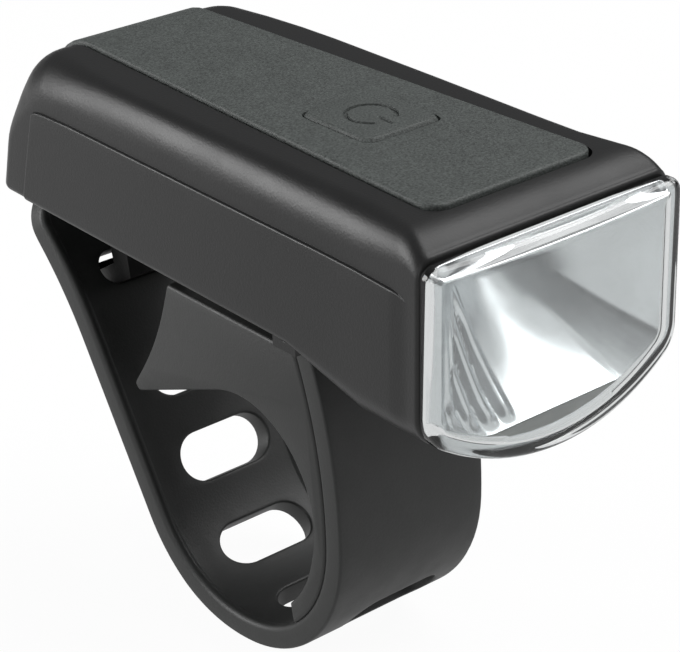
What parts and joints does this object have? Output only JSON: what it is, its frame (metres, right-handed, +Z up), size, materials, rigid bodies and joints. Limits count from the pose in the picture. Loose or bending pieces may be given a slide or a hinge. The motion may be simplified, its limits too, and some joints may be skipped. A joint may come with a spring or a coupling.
{
  "type": "bike headlight",
  "caption": "Compact battery bicycle headlight with a D-shaped clear lens, a rubber top pad with a power button, and a ladder strap for the handlebar.",
  "frame": {"origin": "on the axis of the handlebar that the saddle and the strap hold", "axes": "+X along the handlebar, -Y the way the lens looks, +Z up"},
  "size_m": [0.0358, 0.0832, 0.0689],
  "materials": {
    "housing_plastic": "fine moulded texture",
    "lens_clear": "clear polished",
    "seal_rubber": "soft black",
    "reflector_silver": "vacuum metallised",
    "chin_plastic": "satin",
    "lamp_chip": "phosphor",
    "lamp_board": "white solder mask",
    "sink_aluminium": "bare",
    "lead_red": "insulated",
    "lead_black": "insulated",
    "pad_rubber": "fine grained",
    "switch_metal": "stamped",
    "plunger_plastic": "moulded",
    "board_green": "solder mask",
    "socket_steel": "plated",
    "cell_wrap": "film wrap",
    "foam_black": "closed cell",
    "screw_steel": "zinc plated",
    "strap_rubber": "matte moulded",
    "pin_black": "blackened"
  },
  "bodies": {
    "lamp": {"main_housing": "housing_plastic", "bottom_cover": "housing_plastic", "front_lens": "lens_clear", "lens_seal": "seal_rubber", "reflector": "reflector_silver", "lamp_chin": "chin_plastic", "led_emitter": "lamp_chip", "led_board": "lamp_board", "heat_sink": "sink_aluminium", "led_leads": "lead_red", "top_pad": "pad_rubber", "tact_switch": "switch_metal", "circuit_board": "board_green", "usb_socket": "socket_steel", "battery_cell": "cell_wrap", "battery_foam": "foam_black", "battery_leads": "lead_black", "board_screws": "screw_steel", "cover_screws": "screw_steel", "bar_saddle": "strap_rubber", "saddle_screws": "screw_steel", "strap_loop": "strap_rubber", "anchor_pin": "pin_black"},
    "power_button": {"power_button": "pad_rubber", "switch_plunger": "plunger_plastic"},
    "charge_flap": {"charge_flap": "pad_rubber"},
    "strap_tail": {"strap_tail": "strap_rubber"}
  },
  "joints": [
    {"name": "button_press", "type": "slide", "parent": "lamp", "child": "power_button", "axis": [0, 0, -1], "range_m": [0, 0.0006], "stiffness_N_per_m": 2500},
    {"name": "flap_swing", "type": "hinge", "parent": "lamp", "child": "charge_flap", "pos_m": [0, 0.03835, 0.04063], "axis": [1, 0, 0], "range_deg": [0, 110], "stiffness_Nm_per_rad": 0.004},
    {"name": "strap_swing", "type": "hinge", "parent": "lamp", "child": "strap_tail", "pos_m": [0, 0.01842, -0.01185], "axis": [-1, 0, 0], "range_deg": [0, 65], "stiffness_Nm_per_rad": 0.015}
  ]
}
